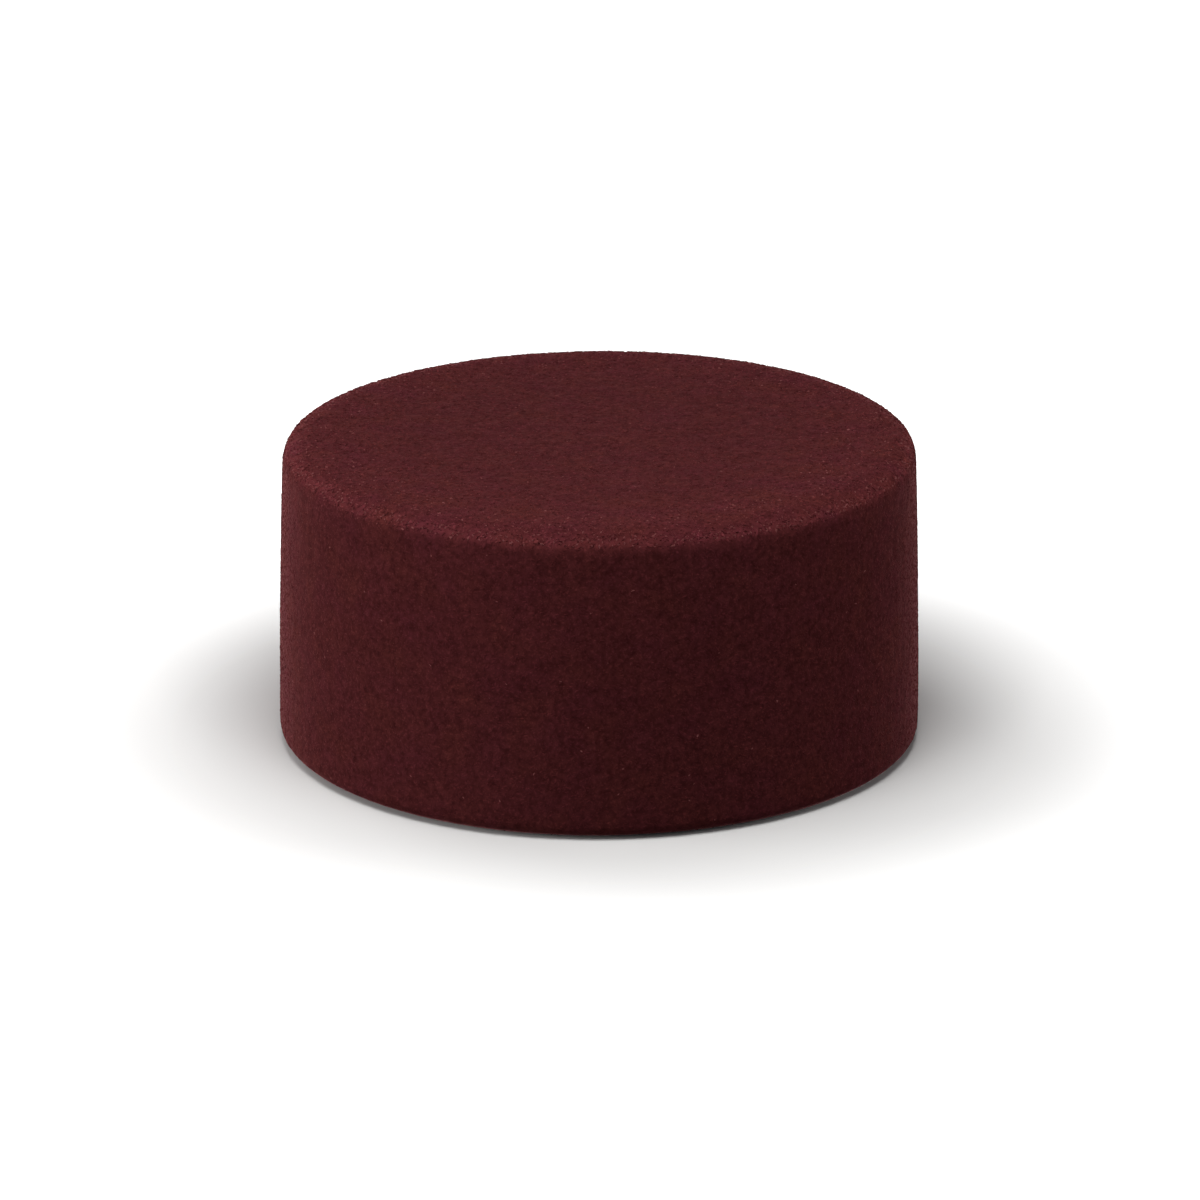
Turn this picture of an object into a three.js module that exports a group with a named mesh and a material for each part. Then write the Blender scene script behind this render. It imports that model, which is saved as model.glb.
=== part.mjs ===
// A round mud cake in a coat of fine red velvet crumbs: uncut, flat on top, soft at both edges.
// Millimetres, +Z up. The cake stands on z = 0 with its middle on the Z axis.
import * as THREE from "three";

// Driving dimensions.
const HEIGHT = 92.3; // from the flat foot to the middle of the top
const MIDDLE_RADIUS = 95.1; // of the side, at half the height
const SPREAD = 2.0; // how much wider the radius is at the foot than at the top
const SWELL = 0.4; // how far the side stands out at half height
const RIM = { across: 12, tall: 8.5, fullness: 3 }; // rounding of the top edge
const FOOT = { across: 7, tall: 4.2, fullness: 2 }; // rounding of the bottom edge

// The unevenness of a cake that was coated by hand, as waves in the side and in the top.
const SIDE_WAVES = [
  { turns: 2, depth: 0.22, start: 0.7, twist: 0.3 },
  { turns: 3, depth: 0.16, start: 2.1, twist: -0.8 },
  { turns: 5, depth: 0.1, start: 4.4, twist: 1.2 },
];
const TOP_WAVES = [
  { turns: 1, depth: 0.3, start: Math.PI / 2 }, // the top rises by this much towards +X
  { turns: 2, depth: 0.14, start: 0.5 },
  { turns: 4, depth: 0.08, start: 3.3 },
];

// How finely the surface is divided.
const SEGMENTS = 96;
const RIM_STEPS = 12;
const FOOT_STEPS = 6;
const SIDE_STEPS = 7;
const TOP_STEPS = 5;

const CRUST = new THREE.MeshStandardMaterial({ color: 0x4c2224, roughness: 0.95, metalness: 0 });

// Radius of the side at a height, before its edges are rounded.
function sideRadius(height) {
  const share = height / HEIGHT;
  return MIDDLE_RADIUS + SPREAD * (0.5 - share) + SWELL * (1 - (2 * share - 1) ** 2);
}

// A point of a rounded edge, at a turn counted up from the side. A fullness of 2 makes the edge a
// quarter of an ellipse, and a greater one brings it nearer to a sharp corner.
function edgePoint(middle, edge, turn) {
  const power = 2 / edge.fullness;
  const outward = Math.abs(Math.cos(turn)) ** power;
  const upward = Math.sign(turn) * Math.abs(Math.sin(turn)) ** power;
  return new THREE.Vector2(middle.x + edge.across * outward, middle.y + edge.tall * upward);
}

// Evenly spaced numbers from one value to another, both included.
function evenly(from, to, steps) {
  return Array.from({ length: steps + 1 }, (_, i) => THREE.MathUtils.lerp(from, to, i / steps));
}

// Half of the cake's section, from the middle of the foot round to the middle of the top.
function section() {
  const footMiddle = new THREE.Vector2(sideRadius(FOOT.tall) - FOOT.across, FOOT.tall);
  const rimMiddle = new THREE.Vector2(sideRadius(HEIGHT - RIM.tall) - RIM.across, HEIGHT - RIM.tall);
  const foot = evenly(-Math.PI / 2, 0, FOOT_STEPS).map((turn) => edgePoint(footMiddle, FOOT, turn));
  const side = evenly(FOOT.tall, HEIGHT - RIM.tall, SIDE_STEPS)
    .slice(1, -1)
    .map((height) => new THREE.Vector2(sideRadius(height), height));
  const rim = evenly(0, Math.PI / 2, RIM_STEPS).map((turn) => edgePoint(rimMiddle, RIM, turn));
  const top = evenly(rimMiddle.x, 0, TOP_STEPS)
    .slice(1)
    .map((radius) => new THREE.Vector2(radius, HEIGHT));
  return [new THREE.Vector2(0, 0), ...foot, ...side, ...rim, ...top];
}

// Moves a point of the even cake in or out, and up or down, to the hand-coated cake. The foot stays
// flat, and the middle of the top stays at full height.
function unevenPoint(point) {
  const angle = Math.atan2(point.y, point.x);
  const share = point.z / HEIGHT;
  const reach = Math.hypot(point.x, point.y) / MIDDLE_RADIUS;
  const outward = SIDE_WAVES.reduce(
    (sum, wave) => sum + wave.depth * Math.sin(wave.turns * angle + wave.start + wave.twist * share),
    0,
  );
  const upward = TOP_WAVES.reduce(
    (sum, wave) => sum + wave.depth * Math.sin(wave.turns * angle + wave.start),
    0,
  );
  const scale = 1 + outward / MIDDLE_RADIUS;
  return new THREE.Vector3(point.x * scale, point.y * scale, point.z + upward * reach * share ** 3);
}

// The whole cake as one closed body.
function cake() {
  const geometry = new THREE.LatheGeometry(section(), SEGMENTS).rotateX(Math.PI / 2);
  const positions = geometry.getAttribute("position");
  const point = new THREE.Vector3();
  for (let i = 0; i < positions.count; i++) {
    const moved = unevenPoint(point.fromBufferAttribute(positions, i));
    positions.setXYZ(i, moved.x, moved.y, moved.z);
  }
  geometry.computeVertexNormals();
  const mesh = new THREE.Mesh(geometry, CRUST);
  mesh.name = "cake";
  return mesh;
}

const group = new THREE.Group();
group.add(cake());

export default group;
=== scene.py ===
"""Red velvet mud cake: a round, uncut cake whose coat of fine crumbs is laid over its solid.

Everything is in metres, +Z up. The cake stands on z = 0 with its middle on the Z axis, and the
viewer looks along +Y.
"""

import math
from collections import namedtuple

import bpy
import numpy as np
from bpy.props import FloatProperty, FloatVectorProperty, IntProperty, PointerProperty
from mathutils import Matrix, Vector, noise
from mathutils.bvhtree import BVHTree


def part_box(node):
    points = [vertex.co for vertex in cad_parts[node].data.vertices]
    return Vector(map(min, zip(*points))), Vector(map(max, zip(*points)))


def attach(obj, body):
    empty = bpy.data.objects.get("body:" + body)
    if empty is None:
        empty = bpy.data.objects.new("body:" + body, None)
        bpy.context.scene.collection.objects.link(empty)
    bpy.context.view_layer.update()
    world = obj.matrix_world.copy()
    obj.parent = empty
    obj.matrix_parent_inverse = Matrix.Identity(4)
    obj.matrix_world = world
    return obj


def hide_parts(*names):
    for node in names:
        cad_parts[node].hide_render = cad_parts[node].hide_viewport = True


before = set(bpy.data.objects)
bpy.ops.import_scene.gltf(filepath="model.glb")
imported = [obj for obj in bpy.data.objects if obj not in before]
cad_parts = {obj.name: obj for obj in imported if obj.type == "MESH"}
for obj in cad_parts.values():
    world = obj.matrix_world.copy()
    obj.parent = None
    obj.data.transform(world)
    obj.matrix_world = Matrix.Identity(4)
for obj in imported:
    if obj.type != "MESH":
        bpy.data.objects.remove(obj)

bl_info = {
    "name": "Red Velvet Mud Cake",
    "version": (1, 0, 0),
    "blender": (4, 5, 0),
    "location": "3D View > Sidebar > Mud Cake",
    "description": "Coats a round cake in fine velvet crumbs and lights it on a pale floor",
    "category": "Object",
}

MM = 0.001
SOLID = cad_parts["cake"]
BODY = "root"
LOW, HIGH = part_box("cake")
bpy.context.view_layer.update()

# The cake's half section, close enough to its solid for a point to find the solid's surface.
CAKE_HEIGHT = HIGH.z - LOW.z
CAKE_RADIUS = (HIGH.x - LOW.x) / 2
TOP_NARROWING = 2.0 * MM
Rounding = namedtuple("Rounding", "across tall fullness")
RIM = Rounding(12.0 * MM, 8.5 * MM, 3.0)
FOOT = Rounding(7.0 * MM, 4.2 * MM, 2.0)
OUTLINE_STEPS = 60  # points on each rounded edge of the section

# How the body of the cake is divided. Its columns match the edge of the square grid on the top.
GRID_SIDE = 128
COLUMNS = 4 * GRID_SIDE
ROW_SPACING = 1.18 * MM

# Heights below which the coat is smooth, because the cake stands on its foot.
STILL_FOOT = 0.4 * MM
FULL_RELIEF = 4.0 * MM
FLOOR_GAP = 0.05 * MM

# Waves of relief in the coat: wavelength, depth and a shift that keeps the waves apart.
ReliefWave = namedtuple("ReliefWave", "length depth shift")
RELIEF = (
    ReliefWave(14.0 * MM, 0.20, Vector((3.1, 7.7, 1.3))),
    ReliefWave(5.0 * MM, 0.16, Vector((17.2, 2.9, 8.4))),
    ReliefWave(2.6 * MM, 0.14, Vector((5.6, 23.8, 14.1))),
)
PIT_LENGTH = 2.6 * MM
PIT_SHIFT = Vector((41.3, 9.2, 27.5))
PIT_START = 0.42  # noise above this is a pit
PIT_FULL = 0.60
PIT_LEAVES = (0.2, 1.0)  # the depth of pit, at least and at most, that a crumb is left out of

# Where the coat is dry and loose, which raises its crumbs and also lightens it as a painted
# highlight. Its outer top is a little so, measured in from the side and down from the top, and the
# crest of the rim more so, measured down from the top. Each pair is the distance at which it isn't so
# at all, and the one at which it is fully so.
OUTER_TOP_DRY_AND_HIGHLIGHT = 0.38
OUTER_TOP_INWARD = (48.0 * MM, 3.0 * MM)
OUTER_TOP_END = (5.2 * MM, 2.8 * MM)
CREST_DRY_AND_HIGHLIGHT = 0.62
CREST_START = (0.5 * MM, 3.0 * MM)
CREST_END = (5.0 * MM, 3.2 * MM)

# The kinds of loose crumb: how many are strewn, how wide in millimetres, how tall for their width,
# their form, the seed of their random draws and the share that is left away from the dry rim.
CrumbKind = namedtuple("CrumbKind", "name count widths tallness form seed away")
DUSTING = CrumbKind("dusting_crumbs", 32500, (0.62, 0.92), 0.36, "chip", 11, 1.0)
FINE = CrumbKind("fine_crumbs", 32500, (0.74, 1.08), 0.33, "chip", 23, 1.0)
VELVET = CrumbKind("velvet_crumbs", 32500, (0.86, 1.24), 0.30, "chip", 29, 1.0)
MIDDLING = CrumbKind("middling_crumbs", 32500, (1.00, 1.40), 0.27, "chip", 37, 1.0)
COARSE = CrumbKind("coarse_crumbs", 1500, (1.10, 1.50), 0.34, "lump", 53, 0.08)
# Pale crumbs, mostly on the rim: partly dry crumbs, partly painted highlights on crumb tips.
PALE = CrumbKind("pale_crumbs", 36000, (0.72, 1.15), 0.36, "chip", 71, 0.006)

# How tall a crumb is against its kind: pressed flat on the side, more upright on the top and most
# of all at the rim. The last two are added to the first.
SIDE_TALL = 0.45
TOP_TALL = 0.33
RIM_TALL = 0.85

# How crumbs of a kind differ: shares of their usual size, at least and at most.
TALL_SPREAD = (0.75, 1.35)
LONG_SPREAD = (0.9, 1.8)
BROAD_SPREAD = (0.6, 0.9)
CORNER_SHIFT = 0.11  # how far each corner of a crumb is moved, as a share of its width
SEED_STEP = 1000  # keeps the kinds' random draws apart at every seed

# How much deeper the crumbs sit on the tight rounding of the foot, and the heights between which
# that starts and is complete.
FOOT_SINK = 0.07 * MM
FOOT_SINK_REACH = (5.5 * MM, 3.8 * MM)

# The velvet's shading: noise scales, per metre, and how far they move a crumb's shade.
PATCH_SCALE = 75.0
CLUMP_SCALE = 230.0
CLUMP_SWING = 0.10
GRAIN_SCALE = 600.0
GRAIN_SWING = 0.23
GRAIN_DEPTH = 0.10 * MM
SPECK_SCALE = 900.0
NOISE_LOW, NOISE_HIGH = 0.3, 0.7  # the usual reach of the noise
LIGHTEST = 2.4  # the highest share of the lighter colour
SHEEN_TINT = (0.86, 0.33, 0.34, 1.0)
WHITE = (1.0, 1.0, 1.0, 1.0)

# The stage, in metres unless it says otherwise.
FLOOR_REACH = 8.0
GLOW_START = 0.085  # from the middle of the floor, where it starts to fade to white
GLOW_FULL = 0.24
WALL_LEVEL = 1.0  # of the wall behind the floor, as the camera sees it
SENSOR_WIDTH = 36.0  # in millimetres
SIGHT_END = 50.0

# The softboxes: where each stands, how wide and tall it is and which setting is its power.
Softbox = namedtuple("Softbox", "name place wide tall power")
SOFTBOXES = (
    Softbox("overhead softbox", (0.0, -0.25, 0.62), 0.35, 0.35, "overhead"),
    Softbox("front left softbox", (-0.85, -0.85, 0.55), 0.80, 0.80, "front_left"),
    Softbox("low left softbox", (-1.20, -0.15, 0.15), 0.50, 0.50, "low_left"),
    Softbox("low right softbox", (1.20, 0.15, 0.15), 0.50, 0.50, "low_right"),
    Softbox("back left softbox", (-0.90, 0.90, 0.50), 0.80, 0.80, "back_left"),
    Softbox("left edge strip", (-0.90, 0.90, 0.06), 0.50, 0.12, "left_edge"),
    Softbox("right edge strip", (0.90, 0.90, 0.06), 0.50, 0.12, "right_edge"),
)

# The tone holds painted shade between the crumbs and at their bases and a painted highlight along the
# rim, besides the crumbs' random shades.
TONE = "crumb_tone"  # the attribute that holds each point's shade, from 0 dark to 1 light
# The coat between the crumbs is darker than a crumb: painted shade in the gaps.
SHADED_GAP_TONE = 0.26  # of the coat between the crumbs
CRUMB_TONE = 0.41  # of a middling crumb
GOLDEN = (1 + math.sqrt(5)) / 2


# ---------------------------------------------------------------------------------------------
# Settings
# ---------------------------------------------------------------------------------------------


class CrumbCoatSettings(bpy.types.PropertyGroup):
    """Sizes and colours of the cake's coat."""

    relief: FloatProperty(
        name="Relief",
        description="How far the coat's unevenness reaches in and out",
        default=0.42 * MM,
        min=0.0,
        max=2.0 * MM,
        precision=5,
        subtype="DISTANCE",
        unit="LENGTH",
    )
    pit_depth: FloatProperty(
        name="Pit depth",
        description="Depth of the small pits between the crumbs",
        default=0.11 * MM,
        min=0.0,
        max=2.0 * MM,
        precision=5,
        subtype="DISTANCE",
        unit="LENGTH",
    )
    sunk: FloatProperty(
        name="Sunk",
        description="Share of a crumb's height that is pressed into the coat",
        default=0.30,
        min=0.0,
        max=0.9,
        subtype="FACTOR",
    )
    lean: FloatProperty(
        name="Lean",
        description="How unevenly the crumbs lie",
        default=0.15,
        min=0.0,
        max=1.0,
        subtype="FACTOR",
    )
    # Painted shade: each crumb's base is darker and its tip lighter, as if shaded between the crumbs.
    painted_base_shade: FloatProperty(
        name="Light tips",
        description="How much lighter a crumb is at its tip than at its base",
        default=0.15,
        min=0.0,
        max=1.0,
        subtype="FACTOR",
    )
    # Lightens the coat along the rim: partly the crumbs' dryness, partly a painted highlight on the
    # rim's edge.
    rim_dryness_and_highlight: FloatProperty(
        name="Dry rim",
        description="How much lighter the crumbs are along the rim",
        default=0.50,
        min=0.0,
        max=1.0,
        subtype="FACTOR",
    )
    variety: FloatProperty(
        name="Variety",
        description="How much the crumbs' shades vary",
        default=0.09,
        min=0.0,
        max=1.0,
        subtype="FACTOR",
    )
    loose_top: FloatProperty(
        name="Loose top",
        description="How much more the crumbs' shades vary on the top than on the side",
        default=0.85,
        min=0.0,
        max=2.0,
    )
    loose_rim: FloatProperty(
        name="Loose rim",
        description="How much more the crumbs' shades vary along the rim",
        default=3.2,
        min=0.0,
        max=4.0,
    )
    seed: IntProperty(
        name="Seed",
        description="Another number lays the crumbs in another order",
        default=4,
        min=0,
    )
    red: FloatVectorProperty(
        name="Velvet red",
        description="Colour of the lighter, warmer crumbs",
        default=(0.125, 0.0276, 0.0254),
        size=3,
        min=0.0,
        max=1.0,
        subtype="COLOR",
    )
    plum: FloatVectorProperty(
        name="Plum red",
        description="Colour of the cooler patches",
        default=(0.117, 0.0230, 0.0300),
        size=3,
        min=0.0,
        max=1.0,
        subtype="COLOR",
    )
    cocoa: FloatVectorProperty(
        name="Cocoa red",
        description="Colour of the deepest crumbs",
        default=(0.045, 0.0091, 0.0098),
        size=3,
        min=0.0,
        max=1.0,
        subtype="COLOR",
    )
    # The pale crumbs' colour is partly their dryness, partly a painted highlight.
    pink: FloatVectorProperty(
        name="Pale crumb",
        description="Colour of the few dry, pale crumbs",
        default=(0.25, 0.086, 0.088),
        size=3,
        min=0.0,
        max=1.0,
        subtype="COLOR",
    )


class StageSettings(bpy.types.PropertyGroup):
    """The floor, the lights and the camera."""

    distance: FloatProperty(
        name="Camera distance",
        description="From the camera to the point that it looks at",
        default=2.0,
        min=0.3,
        subtype="DISTANCE",
        unit="LENGTH",
    )
    elevation: FloatProperty(
        name="Camera elevation",
        description="How far above the horizon the camera stands",
        default=math.radians(19.08),
        min=0.0,
        max=math.pi / 2,
        subtype="ANGLE",
        unit="ROTATION",
    )
    aim: FloatVectorProperty(
        name="Aim",
        description="The point in the middle of the picture",
        default=(0.3 * MM, 0.0, 40.7 * MM),
        size=3,
        subtype="TRANSLATION",
        unit="LENGTH",
    )
    lens: FloatProperty(
        name="Lens",
        description="Focal length on a sensor 36 mm wide, in millimetres",
        default=199.6,
        min=20.0,
    )
    floor: FloatVectorProperty(
        name="Floor",
        description="Colour of the floor",
        default=(0.80, 0.795, 0.785),
        size=3,
        min=0.0,
        max=1.0,
        subtype="COLOR",
    )
    bounce: FloatProperty(
        name="Floor bounce",
        description="Share of the floor's paleness that lights the cake from below",
        default=0.42,
        min=0.0,
        max=1.0,
        subtype="FACTOR",
    )
    overhead: FloatProperty(
        name="Overhead light",
        description="Power of the small softbox above the front of the cake, in watts",
        default=3.05,
        min=0.0,
    )
    front_left: FloatProperty(
        name="Front left light",
        description="Power of the softbox at the viewer's left, in watts",
        default=2.35,
        min=0.0,
    )
    low_left: FloatProperty(
        name="Low left light",
        description="Power of the low softbox on the left, in watts",
        default=8.8,
        min=0.0,
    )
    low_right: FloatProperty(
        name="Low right light",
        description="Power of the low softbox on the right, in watts",
        default=5.15,
        min=0.0,
    )
    back_left: FloatProperty(
        name="Back left light",
        description="Power of the softbox behind the cake on the left, in watts",
        default=5.0,
        min=0.0,
    )
    left_edge: FloatProperty(
        name="Left edge light",
        description="Power of the small light that grazes the left edge, in watts",
        default=7.5,
        min=0.0,
    )
    right_edge: FloatProperty(
        name="Right edge light",
        description="Power of the small light that grazes the right edge, in watts",
        default=4.7,
        min=0.0,
    )
    room: FloatProperty(
        name="Room light",
        description="Strength of the even light from all round",
        default=0.02,
        min=0.0,
    )


# ---------------------------------------------------------------------------------------------
# The cake's surface
# ---------------------------------------------------------------------------------------------


def smooth_step(value, none, full):
    """0 up to one value, 1 from another and a smooth change between them, either way round."""
    share = np.clip((value - none) / (full - none), 0.0, 1.0)
    return share * share * (3.0 - 2.0 * share)


def rounded_edge(edge, turn):
    """How far out and up a rounded edge reaches at a turn counted from the side, in metres."""
    power = 2.0 / edge.fullness
    return edge.across * np.cos(turn) ** power, edge.tall * np.sin(turn) ** power


def half_section(with_top):
    """Points (radius, height) round the section from its foot to the rim, or on to the middle."""
    turn = np.linspace(0.0, math.pi / 2, OUTLINE_STEPS)
    foot_out, foot_down = rounded_edge(FOOT, turn[::-1])
    rim_out, rim_up = rounded_edge(RIM, turn)
    foot = np.column_stack((CAKE_RADIUS - FOOT.across + foot_out, FOOT.tall - foot_down))
    rim_radius = CAKE_RADIUS - TOP_NARROWING - RIM.across
    rim = np.column_stack((rim_radius + rim_out, CAKE_HEIGHT - RIM.tall + rim_up))
    middle = [(0.0, CAKE_HEIGHT)] if with_top else np.empty((0, 2))
    return np.vstack((foot, rim, middle))


def along_section(section, places):
    """Radius, height and outward normal at distances along the section."""
    steps = np.linalg.norm(np.diff(section, axis=0), axis=1)
    walked = np.concatenate(([0.0], np.cumsum(steps)))
    radius = np.interp(places, walked, section[:, 0])
    height = np.interp(places, walked, section[:, 1])
    slope = np.gradient(section, walked, axis=0)
    rise_r = np.interp(places, walked, slope[:, 0])
    rise_z = np.interp(places, walked, slope[:, 1])
    size = np.hypot(rise_r, rise_z)
    return radius, height, rise_z / size, -rise_r / size


def section_length(section):
    """Length of the section's outline."""
    return float(np.linalg.norm(np.diff(section, axis=0), axis=1).sum())


def turned_area(section):
    """Area of the surface that the section makes when it is turned about the Z axis."""
    steps = np.linalg.norm(np.diff(section, axis=0), axis=1)
    return float(math.pi * np.sum(steps * (section[1:, 0] + section[:-1, 0])))


def round_axis(radius, height, angle):
    """Points at a radius, a height and an angle about the Z axis."""
    return np.stack((radius * np.cos(angle), radius * np.sin(angle), height), axis=-1)


def press_to_solid(points):
    """The points, each moved to the nearest place on the cake's solid."""
    corners = [vertex.co for vertex in SOLID.data.vertices]
    tree = BVHTree.FromPolygons(corners, [face.vertices for face in SOLID.data.polygons])
    return np.array([tree.find_nearest(Vector(point))[0] for point in points])


def pits_at(points):
    """How much of a pit, from 0 to 1, each point lies in."""
    depth = np.array([noise.noise(Vector(point) / PIT_LENGTH + PIT_SHIFT) for point in points])
    return smooth_step(depth, PIT_START, PIT_FULL)


def rim_share(points):
    """How dry and loose, from 0 to 1, the coat is at each point, which also sets where it is
    lightened as painted highlight: most on the crest of the rim.
    """
    inward = CAKE_RADIUS - TOP_NARROWING - np.hypot(points[:, 0], points[:, 1])
    down = CAKE_HEIGHT - points[:, 2]
    outer_top = smooth_step(inward, *OUTER_TOP_INWARD) * smooth_step(down, *OUTER_TOP_END)
    crest = smooth_step(down, *CREST_START) * smooth_step(down, *CREST_END)
    return OUTER_TOP_DRY_AND_HIGHLIGHT * outer_top + CREST_DRY_AND_HIGHLIGHT * crest


def relief_at(points, coat):
    """How far the coat stands out from the solid at each point, in metres."""
    lift = np.zeros(len(points))
    for wave in RELIEF:
        lift += wave.depth * np.array(
            [noise.noise(Vector(point) / wave.length + wave.shift) for point in points]
        )
    lift = coat.relief * lift - coat.pit_depth * pits_at(points)
    return lift * smooth_step(points[:, 2], STILL_FOOT, FULL_RELIEF)


# ---------------------------------------------------------------------------------------------
# Meshes
# ---------------------------------------------------------------------------------------------


def make_piece(name, points, faces, material):
    """A smooth mesh object that rides on the cake's body."""
    mesh = bpy.data.meshes.new(name)
    mesh.from_pydata(points.tolist(), [], faces)
    mesh.validate()
    mesh.shade_smooth()
    mesh.materials.append(material)
    piece = bpy.data.objects.new(name, mesh)
    bpy.context.scene.collection.objects.link(piece)
    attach(piece, BODY)
    return piece


def set_tones(piece, tones):
    """Gives each point of a piece its shade, from 0 for the deepest to 1 for the lightest crumb."""
    piece.data.attributes.new(TONE, "FLOAT", "POINT").data.foreach_set("value", tones)


def disc_from_square(a, b):
    """The point of a round disc of radius 1 for each point of a square grid from -1 to 1."""
    wide = np.abs(a) > np.abs(b)
    safe_a = np.where(wide, a, 1.0)
    safe_b = np.where(wide | (b == 0), 1.0, b)
    radius = np.where(wide, a, b)
    angle = np.where(
        wide,
        (math.pi / 4) * b / safe_a,
        math.pi / 2 - (math.pi / 4) * a / safe_b,
    )
    return radius * np.cos(angle), radius * np.sin(angle)


def side_grid():
    """Points, normals and faces of the side with its two rounded edges, from the foot up."""
    section = half_section(with_top=False)
    rows = round(section_length(section) / ROW_SPACING)
    places = np.linspace(0.0, section_length(section), rows + 1)
    radius, height, out_r, out_z = along_section(section, places)
    angle = np.arange(COLUMNS) * (2 * math.pi / COLUMNS) - math.pi / 4
    points = round_axis(radius[:, None], np.repeat(height[:, None], COLUMNS, 1), angle[None, :])
    normals = round_axis(out_r[:, None], np.repeat(out_z[:, None], COLUMNS, 1), angle[None, :])
    row, column = np.meshgrid(np.arange(rows), np.arange(COLUMNS), indexing="ij")
    after = (column + 1) % COLUMNS
    faces = np.stack(
        (
            row * COLUMNS + column,
            row * COLUMNS + after,
            (row + 1) * COLUMNS + after,
            (row + 1) * COLUMNS + column,
        ),
        axis=-1,
    ).reshape(-1, 4)
    return points.reshape(-1, 3), normals.reshape(-1, 3), faces


def top_grid(first, ring_start):
    """Inner points of the top and its faces, which join the last ring of the side."""
    steps = np.linspace(-1.0, 1.0, GRID_SIDE + 1)
    a, b = np.meshgrid(steps, steps, indexing="ij")
    x, y = disc_from_square(a, b)
    on_edge = np.maximum(np.abs(a), np.abs(b)) > 1.0 - 0.5 / GRID_SIDE
    radius = CAKE_RADIUS - TOP_NARROWING - RIM.across
    column = np.round((np.arctan2(y, x) + math.pi / 4) * COLUMNS / (2 * math.pi)).astype(int)
    index = np.zeros(a.shape, int)
    index[on_edge] = ring_start + column[on_edge] % COLUMNS
    index[~on_edge] = first + np.arange(np.count_nonzero(~on_edge))
    inner = np.column_stack(
        (x[~on_edge] * radius, y[~on_edge] * radius, np.full(np.count_nonzero(~on_edge), CAKE_HEIGHT))
    )
    faces = np.stack(
        (index[:-1, :-1], index[1:, :-1], index[1:, 1:], index[:-1, 1:]), axis=-1
    ).reshape(-1, 4)
    return inner, faces


def foot_fan(middle):
    """Faces of the flat foot, from its middle point to the first ring."""
    return [(middle, (column + 1) % COLUMNS, column) for column in range(COLUMNS)]


def coated_body(coat):
    """Points and faces of the cake's body under its loose crumbs, as one closed skin."""
    side, side_normals, side_faces = side_grid()
    ring_start = len(side) - COLUMNS
    inner, top_faces = top_grid(len(side), ring_start)
    points = np.vstack((side, inner))
    normals = np.vstack((side_normals, np.tile((0.0, 0.0, 1.0), (len(inner), 1))))
    points = press_to_solid(points)
    points = points + normals * relief_at(points, coat)[:, None]
    points = np.vstack((points, (0.0, 0.0, 0.0)))
    faces = side_faces.tolist() + top_faces.tolist() + foot_fan(len(points) - 1)
    # The body's tone is darker than a crumb's as painted shade between them, and lighter along the
    # rim, partly as painted highlight.
    return points, faces, SHADED_GAP_TONE + coat.rim_dryness_and_highlight * rim_share(points)


# ---------------------------------------------------------------------------------------------
# Crumbs
# ---------------------------------------------------------------------------------------------


def chip_form():
    """A four-sided crumb with one high point, 1 wide: points and triangles."""
    turn = np.arange(4) * (math.pi / 2)
    ring = np.column_stack((0.5 * np.cos(turn), 0.5 * np.sin(turn), np.zeros(4)))
    points = np.vstack((ring, (0.0, 0.0, 1.0)))
    sides = [(k, (k + 1) % 4, 4) for k in range(4)]
    return points, sides + [(0, 2, 1), (0, 3, 2)]


def lump_form():
    """A twenty-sided crumb, 1 wide: points and triangles."""
    corners = [(0, s, t * GOLDEN) for s in (-1, 1) for t in (-1, 1)]
    points = np.array([np.roll(corner, k) for k in range(3) for corner in corners], float)
    points *= 0.5 / np.linalg.norm(points[0])
    nearest = 1.1 * min(np.linalg.norm(points[0] - p) for p in points[1:])
    faces = []
    for i in range(12):
        for j in range(i + 1, 12):
            for k in range(j + 1, 12):
                one, two, three = points[[i, j, k]]
                edges = [np.linalg.norm(edge) for edge in (one - two, two - three, three - one)]
                if max(edges) < nearest:
                    outward = np.dot(np.cross(two - one, three - one), one)
                    faces.append((i, j, k) if outward > 0 else (i, k, j))
    points[:, 2] += 0.5
    return points, faces


FORMS = {"chip": chip_form, "lump": lump_form}


def scatter(count, rng):
    """Evenly strewn places on the cake: about `count` points with their normals."""
    section = half_section(with_top=True)
    length = section_length(section)
    spacing = math.sqrt(turned_area(section) / count)
    rows = int(length / spacing)
    ring_radius = along_section(section, (np.arange(rows) + 0.5) * length / rows)[0]
    in_row = np.maximum(1, np.round(2 * math.pi * ring_radius / spacing)).astype(int)
    row = np.repeat(np.arange(rows), in_row)
    start = np.repeat(rng.uniform(0, 2 * math.pi, rows), in_row)
    order = np.arange(len(row)) - np.repeat(np.cumsum(in_row) - in_row, in_row)
    place = (row + rng.uniform(0, 1, len(row))) * length / rows
    angle = start + (order + rng.uniform(0, 1, len(row))) * (2 * math.pi / in_row[row])
    radius, height, out_r, out_z = along_section(section, place)
    return round_axis(radius, height, angle), round_axis(out_r, out_z, angle)


def unit(vectors):
    """The vectors at length 1."""
    return vectors / np.linalg.norm(vectors, axis=-1, keepdims=True)


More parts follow.
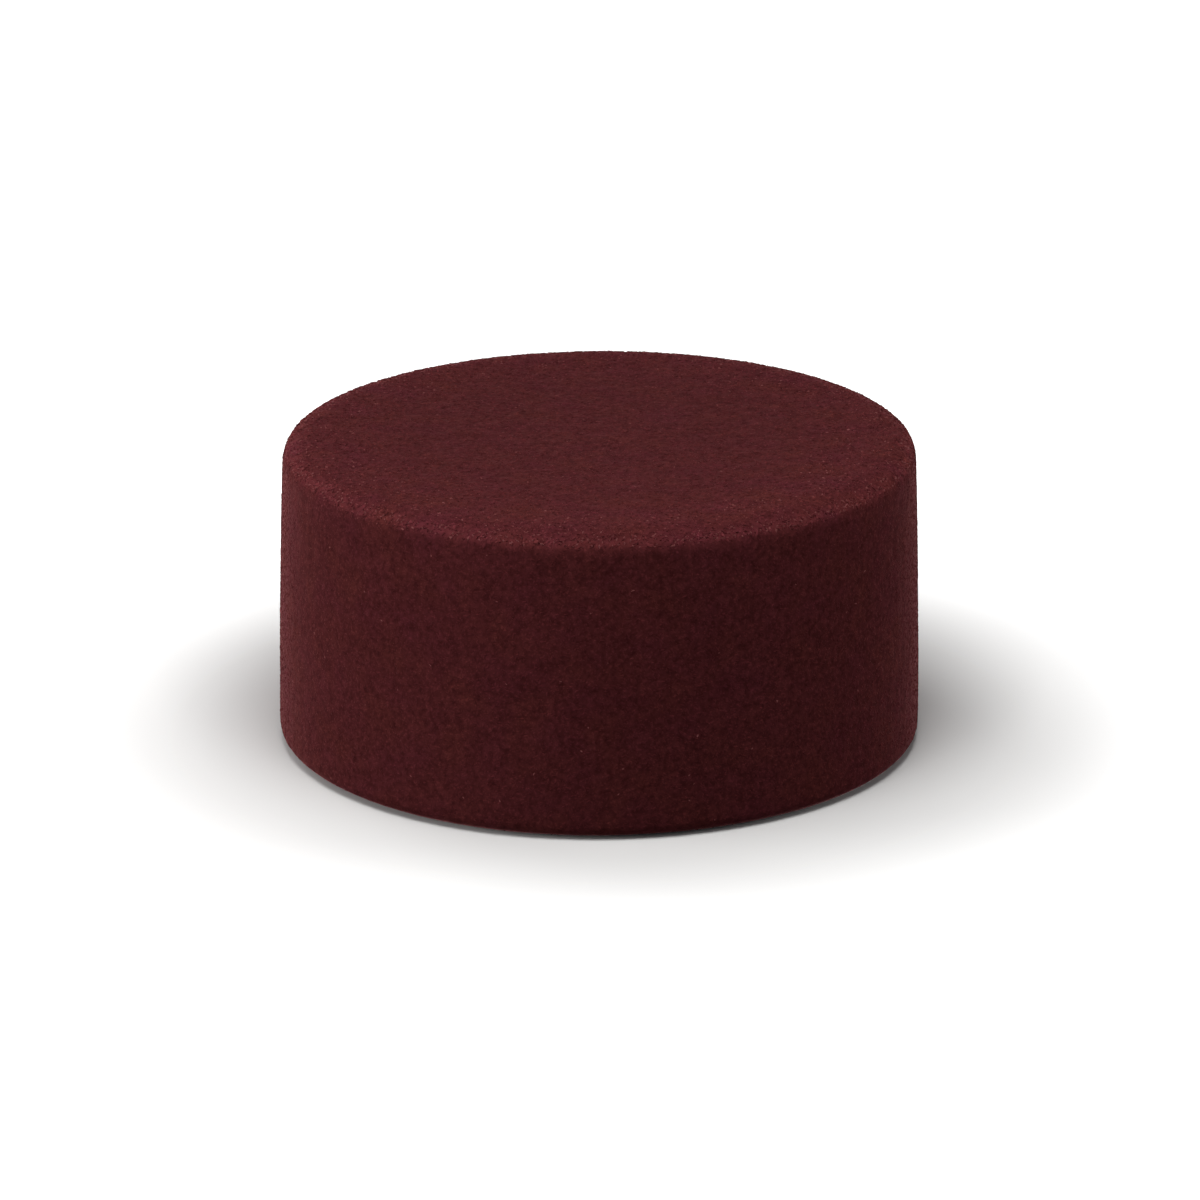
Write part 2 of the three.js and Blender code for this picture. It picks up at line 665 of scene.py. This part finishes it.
def crumbs(kind, coat):
    """Points, faces and tones of all crumbs of one kind, each a small closed body."""
    rng = np.random.default_rng(coat.seed * SEED_STEP + kind.seed)
    places, normals = scatter(kind.count, rng)
    places = press_to_solid(places)
    keep = pits_at(places) < rng.uniform(*PIT_LEAVES, len(places))
    keep &= places[:, 2] > STILL_FOOT
    if kind.away < 1.0:
        keep &= rng.uniform(0, 1, len(places)) < np.maximum(kind.away, rim_share(places) ** 2)
    places, normals = places[keep], normals[keep]
    many = len(places)
    width = rng.uniform(*kind.widths, many) * MM
    # dry also lightens the crumbs' tone below, partly as a painted highlight along the rim.
    dry = rim_share(places)
    tall = width * kind.tallness * rng.uniform(*TALL_SPREAD, many)
    tall *= SIDE_TALL + TOP_TALL * normals[:, 2] + RIM_TALL * dry
    up = unit(normals + coat.lean * rng.normal(0, 0.5, (many, 3)))
    across = unit(np.cross(up, rng.normal(0, 1, (many, 3))))
    along = np.cross(up, across)
    form, triangles = FORMS[kind.form]()
    local = form[None, :, :] + rng.uniform(-CORNER_SHIFT, CORNER_SHIFT, (many, len(form), 3))
    local[:, :, 0] *= rng.uniform(*LONG_SPREAD, (many, 1))
    local[:, :, 1] *= rng.uniform(*BROAD_SPREAD, (many, 1))
    depth = tall * coat.sunk + FOOT_SINK * smooth_step(places[:, 2], *FOOT_SINK_REACH)
    middles = places + normals * relief_at(places, coat)[:, None] - up * depth[:, None]
    points = (
        middles[:, None, :]
        + local[:, :, 0:1] * (across * width[:, None])[:, None, :]
        + local[:, :, 1:2] * (along * width[:, None])[:, None, :]
        + local[:, :, 2:3] * (up * tall[:, None])[:, None, :]
    )
    points[:, :, 2] = np.maximum(points[:, :, 2], FLOOR_GAP)
    starts = np.arange(many)[:, None, None] * len(form)
    faces = (starts + np.array(triangles)[None, :, :]).reshape(-1, 3)
    variety = coat.variety * (1.0 + coat.loose_top * normals[:, 2] + coat.loose_rim * dry)
    # A crumb's tone differs at random, and is lighter along the rim, partly as painted highlight.
    tones = CRUMB_TONE + variety * rng.normal(0, 1, many) + coat.rim_dryness_and_highlight * dry
    # The base of each crumb is darker than its tip: painted shade.
    tones = tones[:, None] + coat.painted_base_shade * (form[:, 2] - 0.5)[None, :]
    return points.reshape(-1, 3), faces.tolist(), tones.reshape(-1)


def make_crumbs(kind, coat, material):
    """One piece that holds every crumb of a kind."""
    points, faces, tones = crumbs(kind, coat)
    piece = make_piece(kind.name, points, faces, material)
    piece.data.shade_flat()
    set_tones(piece, tones)


# ---------------------------------------------------------------------------------------------
# Materials
# ---------------------------------------------------------------------------------------------


def add_node(tree, kind, **settings):
    """A new node with its settings; keys that name an input set that input's value."""
    node = tree.nodes.new(kind)
    for key, value in settings.items():
        if hasattr(node, key):
            setattr(node, key, value)
        else:
            node.inputs[key.replace("_", " ")].default_value = value
    return node


def new_material(name):
    """A material with its Principled BSDF, empty of anything else."""
    material = bpy.data.materials.new(name)
    material.use_nodes = True
    return material, material.node_tree, material.node_tree.nodes["Principled BSDF"]


def velvet_group():
    """The shader node group that colours the crumbs and gives their fine roughness."""
    found = bpy.data.node_groups.get("Velvet crumb")
    if found:
        return found
    tree = bpy.data.node_groups.new("Velvet crumb", "ShaderNodeTree")
    for label in ("Light", "Cool", "Deep"):
        tree.interface.new_socket(label, in_out="INPUT", socket_type="NodeSocketColor")
    tree.interface.new_socket("Tone", in_out="INPUT", socket_type="NodeSocketFloat")
    tree.interface.new_socket("Colour", in_out="OUTPUT", socket_type="NodeSocketColor")
    tree.interface.new_socket("Height", in_out="OUTPUT", socket_type="NodeSocketFloat")
    link = tree.links.new
    given = tree.nodes.new("NodeGroupInput")
    result = tree.nodes.new("NodeGroupOutput")
    place = tree.nodes.new("ShaderNodeTexCoord").outputs["Object"]

    patches = add_node(tree, "ShaderNodeTexNoise", Scale=PATCH_SCALE, Detail=2.0, Roughness=0.5)
    cool = add_node(tree, "ShaderNodeMapRange", From_Min=NOISE_LOW, From_Max=NOISE_HIGH)
    clumps = add_node(tree, "ShaderNodeTexNoise", Scale=CLUMP_SCALE, Detail=2.0, Roughness=0.6)
    grain = add_node(tree, "ShaderNodeTexNoise", Scale=GRAIN_SCALE, Detail=2.0, Roughness=0.6)
    for texture in (patches, clumps, grain):
        link(place, texture.inputs["Vector"])
    link(patches.outputs["Fac"], cool.inputs["Value"])

    warm_or_cool = add_node(tree, "ShaderNodeMix", data_type="RGBA")
    link(cool.outputs["Result"], warm_or_cool.inputs["Factor"])
    link(given.outputs["Light"], warm_or_cool.inputs["A"])
    link(given.outputs["Cool"], warm_or_cool.inputs["B"])

    # The share of the lighter colour: the crumb's tone, with its painted shade and highlight, moved
    # by its clump and its grain.
    moved = given.outputs["Tone"]
    for texture, swing in ((clumps, CLUMP_SWING), (grain, GRAIN_SWING)):
        by_noise = add_node(tree, "ShaderNodeMapRange", From_Min=NOISE_LOW, From_Max=NOISE_HIGH)
        by_noise.inputs["To Min"].default_value = -swing
        by_noise.inputs["To Max"].default_value = swing
        link(texture.outputs["Fac"], by_noise.inputs["Value"])
        total = add_node(tree, "ShaderNodeMath", operation="ADD")
        link(moved, total.inputs[0])
        link(by_noise.outputs["Result"], total.inputs[1])
        moved = total.outputs["Value"]
    share = add_node(tree, "ShaderNodeClamp", Min=0.0, Max=LIGHTEST)
    link(moved, share.inputs["Value"])

    shade = add_node(tree, "ShaderNodeMix", data_type="RGBA", clamp_factor=False)
    link(share.outputs["Result"], shade.inputs["Factor"])
    link(given.outputs["Deep"], shade.inputs["A"])
    link(warm_or_cool.outputs["Result"], shade.inputs["B"])
    link(shade.outputs["Result"], result.inputs["Colour"])
    link(grain.outputs["Fac"], result.inputs["Height"])
    return tree


def velvet_material(name, coat):
    """Matt velvety crumb, shaded by the tone of each point."""
    material, tree, shader = new_material(name)
    group = tree.nodes.new("ShaderNodeGroup")
    group.node_tree = velvet_group()
    group.inputs["Light"].default_value = (*coat.red, 1.0)
    group.inputs["Cool"].default_value = (*coat.plum, 1.0)
    group.inputs["Deep"].default_value = (*coat.cocoa, 1.0)
    own = add_node(tree, "ShaderNodeAttribute", attribute_name=TONE)
    tree.links.new(own.outputs["Fac"], group.inputs["Tone"])
    bump = add_node(tree, "ShaderNodeBump", Strength=1.0, Distance=GRAIN_DEPTH)
    tree.links.new(group.outputs["Height"], bump.inputs["Height"])
    tree.links.new(bump.outputs["Normal"], shader.inputs["Normal"])
    tree.links.new(group.outputs["Colour"], shader.inputs["Base Color"])
    shader.inputs["Roughness"].default_value = 0.92
    shader.inputs["Specular IOR Level"].default_value = 0.0
    shader.inputs["Sheen Weight"].default_value = 0.60
    shader.inputs["Sheen Roughness"].default_value = 0.24
    shader.inputs["Sheen Tint"].default_value = SHEEN_TINT
    return material


def pale_material(coat):
    """Pale crumbs: partly dry crumbs, partly painted highlights on the crumbs along the rim."""
    material, tree, shader = new_material("dry pale crumb")
    place = tree.nodes.new("ShaderNodeTexCoord")
    specks = add_node(tree, "ShaderNodeTexNoise", Scale=SPECK_SCALE, Detail=2.0)
    mix = add_node(tree, "ShaderNodeMix", data_type="RGBA")
    tree.links.new(place.outputs["Object"], specks.inputs["Vector"])
    tree.links.new(specks.outputs["Fac"], mix.inputs["Factor"])
    mix.inputs["A"].default_value = (*coat.red, 1.0)
    mix.inputs["B"].default_value = (*coat.pink, 1.0)
    tree.links.new(mix.outputs["Result"], shader.inputs["Base Color"])
    shader.inputs["Roughness"].default_value = 0.92
    shader.inputs["Specular IOR Level"].default_value = 0.0
    return material


def floor_material(colour, bounce):
    """Plain matt floor, pale to look at, which throws only some light back up at the cake."""
    material, tree, shader = new_material("pale floor")
    place = tree.nodes.new("ShaderNodeTexCoord")
    cloud = add_node(tree, "ShaderNodeTexNoise", Scale=6.0, Detail=1.0)
    shine = add_node(tree, "ShaderNodeMapRange", To_Min=0.72, To_Max=0.82)
    tree.links.new(place.outputs["Object"], cloud.inputs["Vector"])
    tree.links.new(cloud.outputs["Fac"], shine.inputs["Value"])
    tree.links.new(shine.outputs["Result"], shader.inputs["Roughness"])
    seen = tree.nodes.new("ShaderNodeLightPath")
    tint = add_node(tree, "ShaderNodeMix", data_type="RGBA")
    tint.inputs["A"].default_value = (*(bounce * level for level in colour), 1.0)
    tint.inputs["B"].default_value = (*colour, 1.0)
    tree.links.new(seen.outputs["Is Camera Ray"], tint.inputs["Factor"])
    tree.links.new(tint.outputs["Result"], shader.inputs["Base Color"])
    away = add_node(tree, "ShaderNodeVectorMath", operation="LENGTH")
    rise = add_node(tree, "ShaderNodeMapRange", interpolation_type="SMOOTHSTEP")
    rise.inputs["From Min"].default_value = GLOW_START
    rise.inputs["From Max"].default_value = GLOW_FULL
    glow = add_node(tree, "ShaderNodeMath", operation="MULTIPLY")
    tree.links.new(place.outputs["Object"], away.inputs["Vector"])
    tree.links.new(away.outputs["Value"], rise.inputs["Value"])
    tree.links.new(seen.outputs["Is Camera Ray"], glow.inputs[0])
    tree.links.new(rise.outputs["Result"], glow.inputs[1])
    tree.links.new(glow.outputs["Value"], shader.inputs["Emission Strength"])
    shader.inputs["Emission Color"].default_value = WHITE
    shader.inputs["Specular IOR Level"].default_value = 0.1
    return material


# ---------------------------------------------------------------------------------------------
# Stage
# ---------------------------------------------------------------------------------------------


def aim_at(thing, target):
    """Turns a light or camera to face a point."""
    thing.rotation_euler = (Vector(target) - thing.location).to_track_quat("-Z", "Y").to_euler()


def soft_light(softbox, power):
    """A softbox that faces the middle of the cake."""
    light = bpy.data.lights.new(softbox.name, "AREA")
    light.shape = "RECTANGLE"
    light.size = softbox.wide
    light.size_y = softbox.tall
    light.energy = power
    lamp = bpy.data.objects.new(softbox.name, light)
    bpy.context.scene.collection.objects.link(lamp)
    lamp.location = softbox.place
    lamp.visible_camera = False
    aim_at(lamp, (0.0, 0.0, CAKE_HEIGHT / 2))


def lay_floor(colour, bounce):
    """A wide flat floor under the cake."""
    mesh = bpy.data.meshes.new("floor")
    corners = [(x * FLOOR_REACH, y * FLOOR_REACH, 0) for x, y in ((-1, -1), (1, -1), (1, 1), (-1, 1))]
    mesh.from_pydata(corners, [], [(0, 1, 2, 3)])
    mesh.materials.append(floor_material(colour, bounce))
    floor = bpy.data.objects.new("floor", mesh)
    bpy.context.scene.collection.objects.link(floor)


def light_room(strength):
    """Even light from all round; the camera itself sees a pale wall."""
    world = bpy.data.worlds.new("studio")
    world.use_nodes = True
    tree = world.node_tree
    background = tree.nodes["Background"]
    background.inputs["Color"].default_value = WHITE
    seen = tree.nodes.new("ShaderNodeLightPath")
    level = add_node(tree, "ShaderNodeMix", data_type="FLOAT")
    level.inputs["A"].default_value = strength
    level.inputs["B"].default_value = WALL_LEVEL
    tree.links.new(seen.outputs["Is Camera Ray"], level.inputs["Factor"])
    tree.links.new(level.outputs["Result"], background.inputs["Strength"])
    bpy.context.scene.world = world


def set_camera(stage):
    """The camera at the photograph's viewing angle."""
    camera = bpy.data.cameras.new("camera")
    camera.sensor_width = SENSOR_WIDTH
    camera.lens = stage.lens
    camera.clip_end = SIGHT_END
    stand = bpy.data.objects.new("camera", camera)
    bpy.context.scene.collection.objects.link(stand)
    back = Vector((0.0, -math.cos(stage.elevation), math.sin(stage.elevation)))
    stand.location = Vector(stage.aim) + back * stage.distance
    aim_at(stand, stage.aim)
    bpy.context.scene.camera = stand


# ---------------------------------------------------------------------------------------------
# Operators
# ---------------------------------------------------------------------------------------------


class MUDCAKE_OT_body(bpy.types.Operator):
    """Build the cake's coated body over its solid"""

    bl_idname = "mudcake.body"
    bl_label = "Coated body"
    bl_options = {"REGISTER", "UNDO"}

    def execute(self, context):
        coat = context.scene.mudcake_coat
        points, faces, tones = coated_body(coat)
        piece = make_piece("coated_body", points, faces, velvet_material("velvet coat", coat))
        set_tones(piece, tones)
        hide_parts("cake")
        return {"FINISHED"}


class MUDCAKE_OT_small_crumbs(bpy.types.Operator):
    """Strew the dusting, fine, velvet and middling crumbs that cover the cake"""

    bl_idname = "mudcake.small_crumbs"
    bl_label = "Small crumbs"
    bl_options = {"REGISTER", "UNDO"}

    def execute(self, context):
        coat = context.scene.mudcake_coat
        material = velvet_material("velvet crumb", coat)
        for kind in (DUSTING, FINE, VELVET, MIDDLING):
            make_crumbs(kind, coat, material)
        return {"FINISHED"}


class MUDCAKE_OT_large_crumbs(bpy.types.Operator):
    """Strew the few coarse crumbs and the dry, pale ones"""

    bl_idname = "mudcake.large_crumbs"
    bl_label = "Coarse and pale crumbs"
    bl_options = {"REGISTER", "UNDO"}

    def execute(self, context):
        coat = context.scene.mudcake_coat
        make_crumbs(COARSE, coat, velvet_material("coarse velvet crumb", coat))
        make_crumbs(PALE, coat, pale_material(coat))
        return {"FINISHED"}


class MUDCAKE_OT_stage(bpy.types.Operator):
    """Lay the floor, set the lights and place the camera"""

    bl_idname = "mudcake.stage"
    bl_label = "Stage"
    bl_options = {"REGISTER", "UNDO"}

    def execute(self, context):
        stage = context.scene.mudcake_stage
        lay_floor(stage.floor, stage.bounce)
        light_room(stage.room)
        for softbox in SOFTBOXES:
            soft_light(softbox, getattr(stage, softbox.power))
        set_camera(stage)
        context.scene.view_settings.view_transform = "Standard"
        return {"FINISHED"}


class MUDCAKE_PT_panel(bpy.types.Panel):
    """The cake's steps and settings"""

    bl_idname = "MUDCAKE_PT_panel"
    bl_label = "Mud Cake"
    bl_space_type = "VIEW_3D"
    bl_region_type = "UI"
    bl_category = "Mud Cake"

    def draw(self, context):
        layout = self.layout
        for operator in OPERATORS:
            layout.operator(operator.bl_idname)
        for settings in (context.scene.mudcake_coat, context.scene.mudcake_stage):
            box = layout.box()
            for key in settings.bl_rna.properties.keys():
                if key not in ("rna_type", "name"):
                    box.prop(settings, key)


OPERATORS = (MUDCAKE_OT_body, MUDCAKE_OT_small_crumbs, MUDCAKE_OT_large_crumbs, MUDCAKE_OT_stage)
CLASSES = (CrumbCoatSettings, StageSettings, *OPERATORS, MUDCAKE_PT_panel)


def register():
    for cls in CLASSES:
        bpy.utils.register_class(cls)
    bpy.types.Scene.mudcake_coat = PointerProperty(type=CrumbCoatSettings)
    bpy.types.Scene.mudcake_stage = PointerProperty(type=StageSettings)


def unregister():
    del bpy.types.Scene.mudcake_stage
    del bpy.types.Scene.mudcake_coat
    for cls in reversed(CLASSES):
        bpy.utils.unregister_class(cls)


def main():
    """Builds the cake and its stage."""
    register()
    bpy.ops.mudcake.body()
    bpy.ops.mudcake.small_crumbs()
    bpy.ops.mudcake.large_crumbs()
    bpy.ops.mudcake.stage()


if __name__ == "__main__":
    main()
